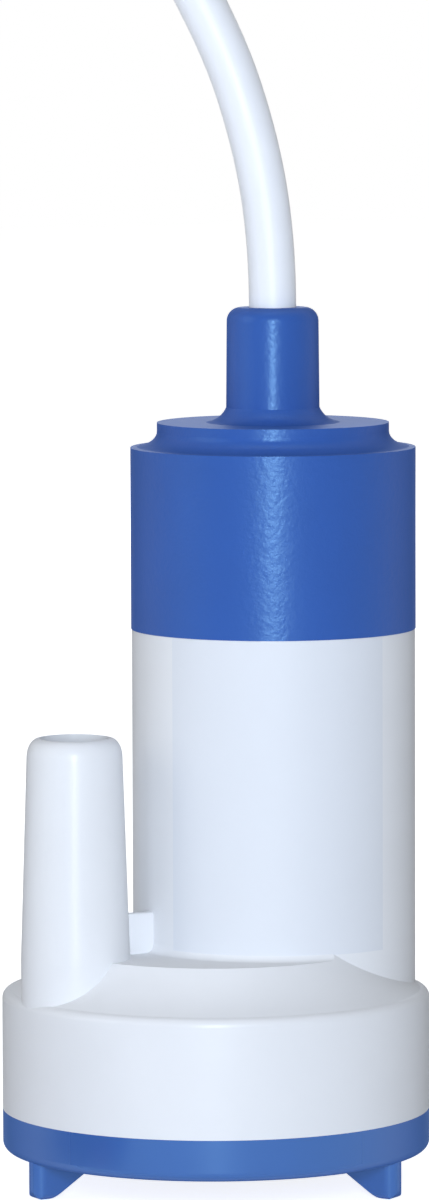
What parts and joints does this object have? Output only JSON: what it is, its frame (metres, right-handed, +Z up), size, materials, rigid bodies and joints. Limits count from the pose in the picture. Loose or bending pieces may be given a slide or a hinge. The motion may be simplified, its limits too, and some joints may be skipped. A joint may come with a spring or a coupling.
{
  "type": "caravan water pump",
  "caption": "Submersible caravan water pump: offset motor tube and hose spigot on a round pump bowl with a finned suction cover, blue cap and cable.",
  "frame": {"origin": "centre of the round pump bowl, on the surface that the feet stand on", "axes": "+Z up along the motor tube; -X from the bowl's centre to the hose spigot, +X to the motor's axis, so that XZ is the moulding's plane of symmetry"},
  "size_m": [0.1541, 0.0823, 0.1837],
  "materials": {
    "white_plastic": "glossy moulded ABS",
    "blue_plastic": "semi-gloss moulded ABS",
    "cable_jacket": "soft white PVC",
    "wire_jacket": "PVC",
    "seal_rubber": "matt",
    "clamp_plastic": "moulded",
    "impeller_plastic": "moulded acetal",
    "shaft_steel": "ground",
    "core_steel": "stacked laminations",
    "can_steel": "zinc plated",
    "bronze": "sintered or spring bronze",
    "copper": "enamelled or bare copper",
    "ferrite": "sintered ferrite",
    "carbon": "pressed carbon",
    "capacitor_coat": "dipped coat",
    "foam": "closed-cell foam"
  },
  "bodies": {
    "housing": {"base_cover": "blue_plastic", "cover_seal": "seal_rubber", "pump_housing": "white_plastic", "cap_seal": "seal_rubber", "top_cap": "blue_plastic", "cable_grommet": "seal_rubber", "cable_clamp": "clamp_plastic", "shaft_seal": "seal_rubber", "lower_bearing": "bronze", "upper_bearing": "bronze", "motor_can": "can_steel", "field_magnets": "ferrite", "magnet_clips": "shaft_steel", "motor_end_bell": "clamp_plastic", "carbon_brushes": "carbon", "brush_springs": "bronze", "motor_terminals": "bronze", "suppressor_capacitor": "capacitor_coat", "motor_cushion": "foam", "cable_tail": "cable_jacket", "lead_wires": "wire_jacket", "cable_lead": "cable_jacket", "cable_coil": "cable_jacket", "core_ends": "wire_jacket", "core_tips": "copper"},
    "rotor": {"motor_shaft": "shaft_steel", "rotor_core": "core_steel", "rotor_windings": "copper", "commutator": "copper", "thrust_collars": "clamp_plastic", "impeller": "impeller_plastic"}
  },
  "joints": [
    {"name": "rotor_spin", "type": "hinge", "parent": "housing", "child": "rotor", "pos_m": [0.009, 0, 0.03], "axis": [0, 0, 1], "continuous": true}
  ]
}
